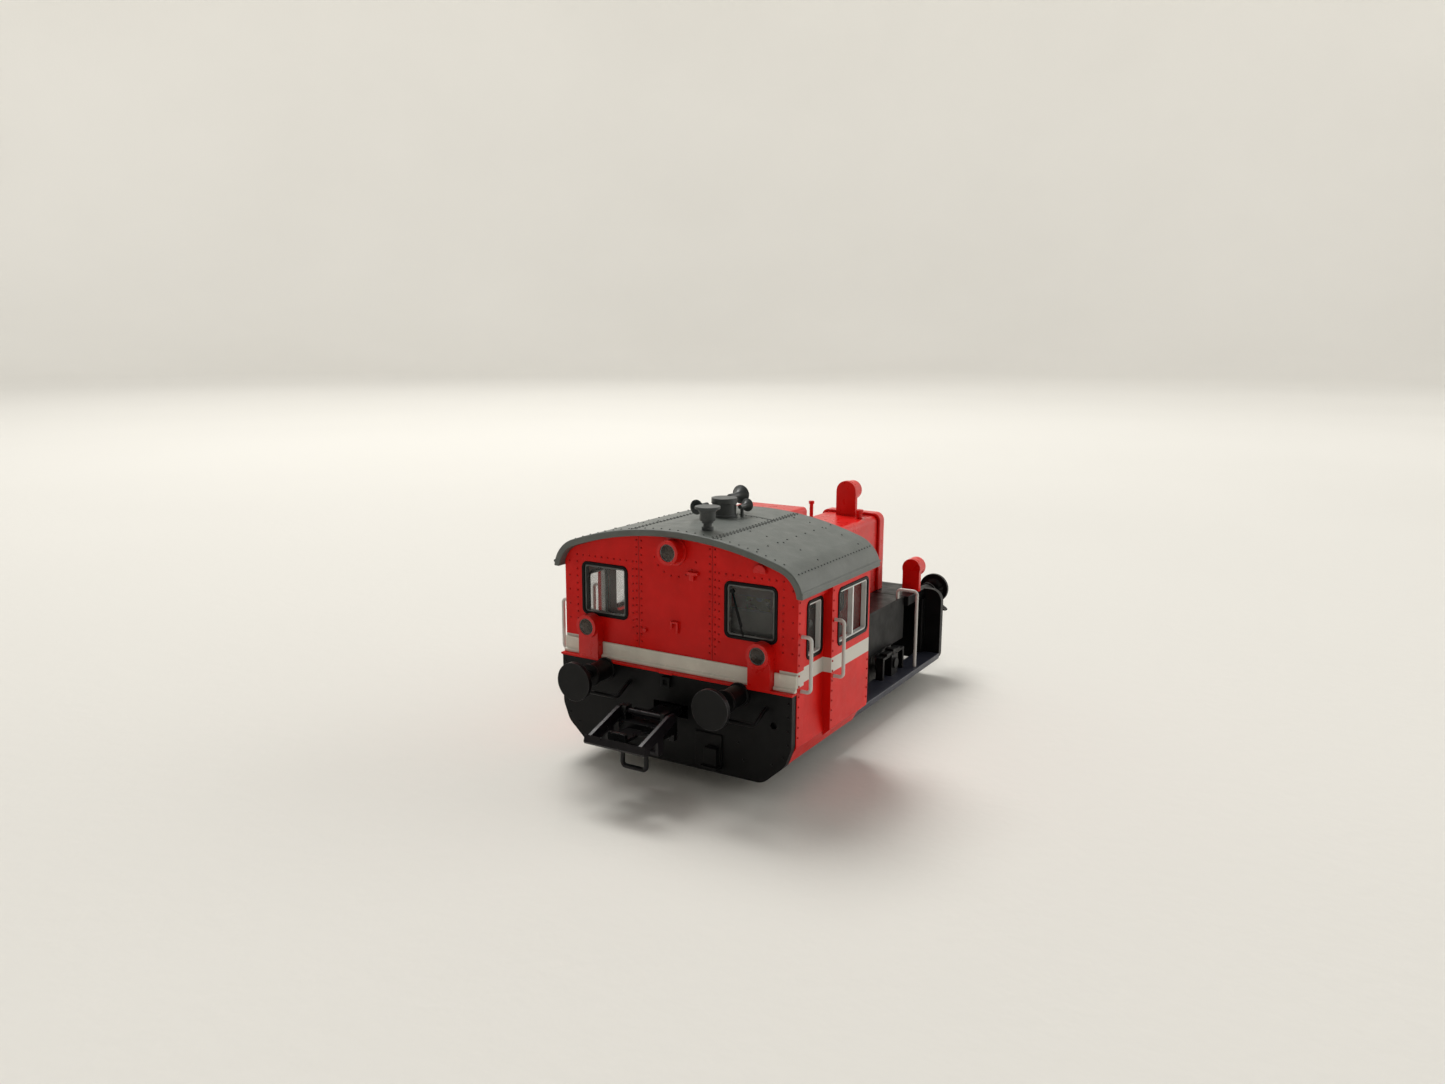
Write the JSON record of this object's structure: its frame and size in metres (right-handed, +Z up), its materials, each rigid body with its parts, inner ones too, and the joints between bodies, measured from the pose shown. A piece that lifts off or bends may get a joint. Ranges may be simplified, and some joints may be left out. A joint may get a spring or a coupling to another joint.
{
  "type": "model diesel locomotive",
  "caption": "Two-axle H0 scale diesel shunting locomotive with arched-roof cab, narrow hood, sprung buffers, loop couplers and a worm-driven gear train.",
  "frame": {"origin": "midway between the coupler ends and the sides, on the surface that the wheel flanges stand on", "axes": "+X from the cab end to the hood end, +Y to the left side, +Z up"},
  "size_m": [0.0848, 0.0392, 0.0359],
  "materials": {
    "cast_frame": "blackened die-cast metal",
    "black_plastic": "satin black",
    "board_plastic": "satin blue-black",
    "steel": "bright turned steel",
    "bronze": "phosphor bronze strip",
    "brass": "turned brass",
    "red_paint": "silky red paint on moulded plastic",
    "white_paint": "off-white paint",
    "roof_grey": "matt grey paint",
    "vent_grey": "matt dark grey paint",
    "interior_grey": "matt grey plastic",
    "window_rubber": "black printed rubber line",
    "frame_silver": "silver print",
    "clear_pane": "clear moulded pane",
    "rail_wire": "silver-grey painted wire",
    "lamp_lens": "grey clear lens",
    "board_green": "green circuit board",
    "gear_plastic": "natural acetal",
    "wheel_metal": "blackened wheel with bright tread",
    "coupler_plastic": "black plastic",
    "coupler_metal": "blackened metal"
  },
  "bodies": {
    "locomotive": {"chassis_frame": "cast_frame", "keeper_plate": "black_plastic", "keeper_screws": "steel", "current_wipers": "bronze", "coupler_pivot_pins": "steel", "rear_buffer_beam": "black_plastic", "front_buffer_beam": "black_plastic", "beam_fittings": "black_plastic", "running_boards": "board_plastic", "side_tanks": "black_plastic", "front_platform": "black_plastic", "axleboxes": "black_plastic", "brake_gear": "black_plastic", "cab_body": "red_paint", "cab_stripe_bar": "white_paint", "cab_roof": "roof_grey", "cab_floor": "interior_grey", "cab_interior": "interior_grey", "window_rubbers": "window_rubber", "window_frames": "frame_silver", "window_panes": "clear_pane", "rear_wiper": "black_plastic", "end_wall_fittings": "red_paint", "handrails": "rail_wire", "rear_lamp_housings": "red_paint", "rear_lamp_lenses": "lamp_lens", "front_lamp_housings": "red_paint", "front_lamp_lenses": "lamp_lens", "roof_vents": "vent_grey", "roof_horns": "vent_grey", "hood": "red_paint", "hood_cowl": "red_paint", "radiator_grille": "red_paint", "radiator_surround": "red_paint", "hood_fittings": "red_paint", "motor_can": "steel", "motor_cradle": "black_plastic", "worm_bearing_bracket": "brass", "circuit_board": "board_green", "buffer_sleeves": "black_plastic", "buffer_springs": "steel"},
    "motor_rotor_body": {"motor_rotor": "steel", "drive_worm": "brass"},
    "worm_wheel_body": {"worm_wheel_gear": "gear_plastic"},
    "centre_idler_body": {"centre_idler_gear": "gear_plastic"},
    "rear_idler_body": {"rear_idler_gear": "gear_plastic"},
    "front_idler_body": {"front_idler_gear": "gear_plastic"},
    "rear_wheelset": {"rear_axle": "steel", "rear_wheels": "wheel_metal"},
    "front_wheelset": {"front_axle": "steel", "front_wheels": "wheel_metal"},
    "front_left_plunger": {"front_left_buffer": "black_plastic"},
    "front_right_plunger": {"front_right_buffer": "black_plastic"},
    "rear_left_plunger": {"rear_left_buffer": "black_plastic"},
    "rear_right_plunger": {"rear_right_buffer": "black_plastic"},
    "front_coupler": {"front_coupler_head": "coupler_plastic"},
    "rear_coupler": {"rear_coupler_head": "coupler_plastic"},
    "front_bow": {"front_coupler_bow": "coupler_metal"},
    "rear_bow": {"rear_coupler_bow": "coupler_metal"}
  },
  "joints": [
    {"name": "motor_spin", "type": "hinge", "parent": "locomotive", "child": "motor_rotor_body", "pos_m": [0, 0, 0.019], "axis": [1, 0, 0], "continuous": true},
    {"name": "worm_wheel_spin", "type": "hinge", "parent": "locomotive", "child": "worm_wheel_body", "pos_m": [0, 0, 0.0136], "axis": [0, 1, 0], "continuous": true},
    {"name": "centre_idler_spin", "type": "hinge", "parent": "locomotive", "child": "centre_idler_body", "pos_m": [0, 0, 0.0076], "axis": [0, 1, 0], "continuous": true},
    {"name": "rear_idler_spin", "type": "hinge", "parent": "locomotive", "child": "rear_idler_body", "pos_m": [-0.00757, 0, 0.00827], "axis": [0, 1, 0], "continuous": true},
    {"name": "front_idler_spin", "type": "hinge", "parent": "locomotive", "child": "front_idler_body", "pos_m": [0.00757, 0, 0.00827], "axis": [0, 1, 0], "continuous": true},
    {"name": "rear_wheels_spin", "type": "hinge", "parent": "locomotive", "child": "rear_wheelset", "pos_m": [-0.01437, 0, 0.0059], "axis": [0, 1, 0], "continuous": true},
    {"name": "front_wheels_spin", "type": "hinge", "parent": "locomotive", "child": "front_wheelset", "pos_m": [0.01437, 0, 0.0059], "axis": [0, 1, 0], "continuous": true},
    {"name": "front_left_buffer_slide", "type": "slide", "parent": "locomotive", "child": "front_left_plunger", "axis": [-1, 0, 0], "range_m": [0, 0.0008], "stiffness_N_per_m": 60, "deforming": ["buffer_springs"]},
    {"name": "front_right_buffer_slide", "type": "slide", "parent": "locomotive", "child": "front_right_plunger", "axis": [-1, 0, 0], "range_m": [0, 0.0008], "stiffness_N_per_m": 60, "deforming": ["buffer_springs"]},
    {"name": "front_coupler_swing", "type": "hinge", "parent": "locomotive", "child": "front_coupler", "pos_m": [0.0255, 0, 0.0093], "axis": [0, 0, 1], "range_deg": [-10, 10], "stiffness_Nm_per_rad": 0.0008},
    {"name": "front_bow_lift", "type": "hinge", "parent": "front_coupler", "child": "front_bow", "pos_m": [0.0356, 0, 0.0103], "axis": [0, -1, 0], "range_deg": [0, 15]},
    {"name": "rear_left_buffer_slide", "type": "slide", "parent": "locomotive", "child": "rear_left_plunger", "axis": [1, 0, 0], "range_m": [0, 0.0008], "stiffness_N_per_m": 60, "deforming": ["buffer_springs"]},
    {"name": "rear_right_buffer_slide", "type": "slide", "parent": "locomotive", "child": "rear_right_plunger", "axis": [1, 0, 0], "range_m": [0, 0.0008], "stiffness_N_per_m": 60, "deforming": ["buffer_springs"]},
    {"name": "rear_coupler_swing", "type": "hinge", "parent": "locomotive", "child": "rear_coupler", "pos_m": [-0.0255, 0, 0.0093], "axis": [0, 0, 1], "range_deg": [-10, 10], "stiffness_Nm_per_rad": 0.0008},
    {"name": "rear_bow_lift", "type": "hinge", "parent": "rear_coupler", "child": "rear_bow", "pos_m": [-0.0356, 0, 0.0103], "axis": [0, 1, 0], "range_deg": [0, 15]}
  ],
  "couplings": [
    {"joint": "worm_wheel_spin", "follows": "motor_spin", "ratio": -0.05},
    {"joint": "centre_idler_spin", "follows": "motor_spin", "ratio": 0.033333},
    {"joint": "rear_idler_spin", "follows": "motor_spin", "ratio": -0.03},
    {"joint": "front_idler_spin", "follows": "motor_spin", "ratio": -0.03},
    {"joint": "rear_wheels_spin", "follows": "motor_spin", "ratio": 0.0375},
    {"joint": "front_wheels_spin", "follows": "motor_spin", "ratio": 0.0375}
  ]
}
